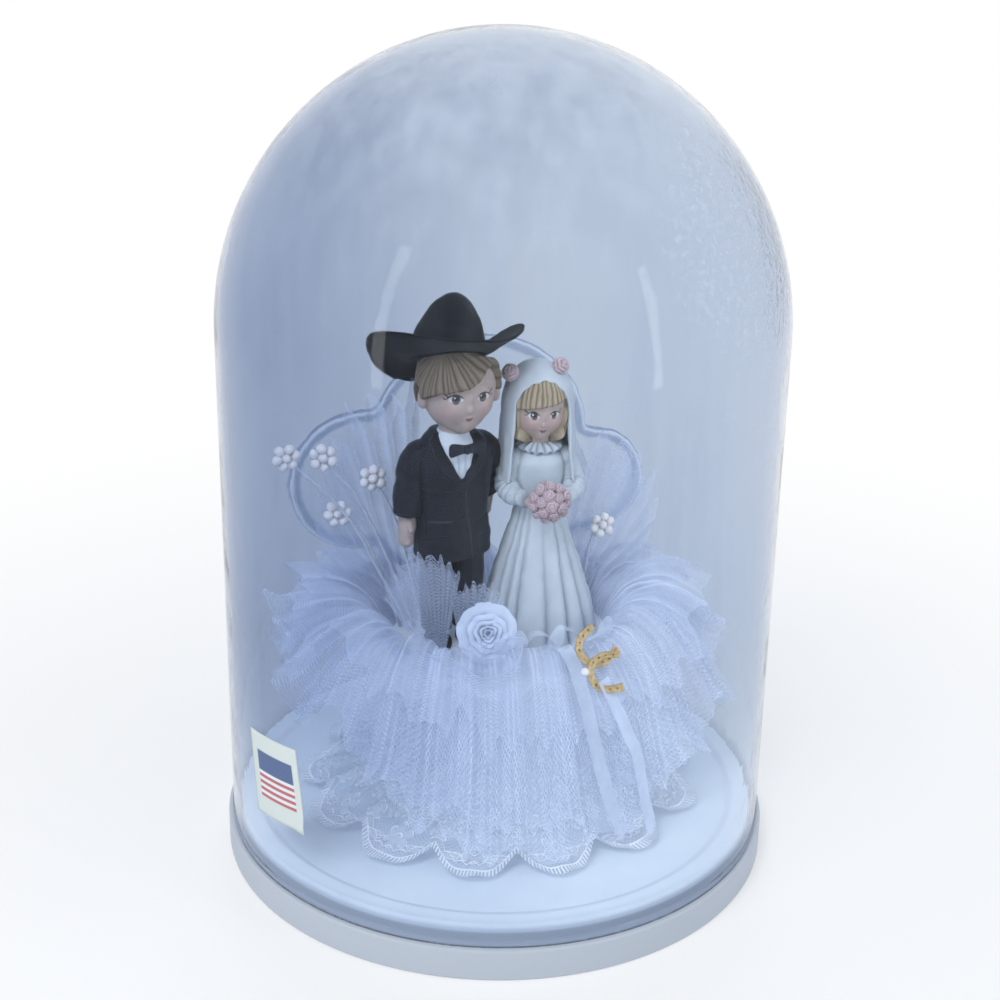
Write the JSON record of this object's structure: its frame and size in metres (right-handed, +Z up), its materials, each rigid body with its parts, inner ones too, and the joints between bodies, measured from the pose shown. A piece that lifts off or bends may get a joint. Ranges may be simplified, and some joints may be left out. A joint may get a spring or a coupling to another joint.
{
  "type": "domed wedding cake topper",
  "caption": "Bride and groom figures on a net-skirted stand with a clear backdrop, pearl sprays and horseshoe charms, on a round white base under a clear lift-off dome.",
  "frame": {"origin": "centre of the display base's underside", "axes": "+Z up, the couple faces -Y"},
  "size_m": [0.18, 0.18, 0.2669],
  "materials": {
    "white_plastic": "satin",
    "clear_plastic": "clear, scuffed",
    "label_paper": "printed paper",
    "net": "fine net",
    "lace": "corded lace",
    "satin": "satin ribbon",
    "gold_metal": "gold, worn",
    "pearl": "pearl",
    "bisque_black": "painted bisque",
    "bisque_skin": "painted bisque",
    "bisque_hair": "painted bisque",
    "bisque_white": "bisque",
    "bisque_pink": "painted bisque",
    "black_felt": "felt"
  },
  "bodies": {
    "base": {"display_base": "white_plastic"},
    "dome": {"dome": "clear_plastic", "dome_label": "label_paper"},
    "topper": {"topper_plate": "white_plastic", "topper_riser": "white_plastic", "topper_stage": "white_plastic", "backdrop": "clear_plastic", "lace_skirt": "lace", "tulle_ruffle": "net", "tulle_fan_left": "net", "tulle_fan_right": "net", "tulle_tuft_left": "net", "tulle_tuft_middle": "net", "fabric_rose": "satin", "ribbon_loop_1": "satin", "ribbon_loop_2": "satin", "horseshoe_1": "gold_metal", "horseshoe_2": "gold_metal", "charm_pearl": "pearl", "ribbon_tail_1": "satin", "ribbon_tail_2": "satin", "groom_shoe_right": "bisque_black", "groom_shoe_left": "bisque_black", "groom_trousers": "bisque_black", "groom_jacket": "bisque_black", "groom_sleeve_right": "bisque_black", "groom_sleeve_left": "bisque_black", "groom_hand_right": "bisque_skin", "groom_hand_left": "bisque_skin", "groom_shirt": "bisque_white", "groom_bow_tie": "bisque_black", "groom_head": "bisque_skin", "groom_hair": "bisque_hair", "groom_hat": "black_felt", "bride_gown": "bisque_white", "bride_bodice": "bisque_white", "bride_collar": "bisque_white", "bride_sleeve_right": "bisque_white", "bride_sleeve_left": "bisque_white", "bride_hand_right": "bisque_skin", "bride_hand_left": "bisque_skin", "bride_bouquet": "bisque_pink", "bride_head": "bisque_skin", "bride_hair": "bisque_hair", "bride_veil": "bisque_white", "veil_rose_left": "bisque_pink", "veil_rose_right": "bisque_pink", "pearl_spray_1": "pearl", "pearl_spray_2": "pearl", "pearl_spray_3": "pearl", "pearl_spray_4": "pearl", "pearl_spray_5": "pearl"}
  },
  "joints": [
    {"name": "dome_lift", "type": "slide", "parent": "base", "child": "dome", "axis": [0, 0, 1], "range_m": [0, 0.2]},
    {"name": "topper_lift", "type": "slide", "parent": "base", "child": "topper", "axis": [0, 0, 1], "range_m": [0, 0.02]}
  ]
}
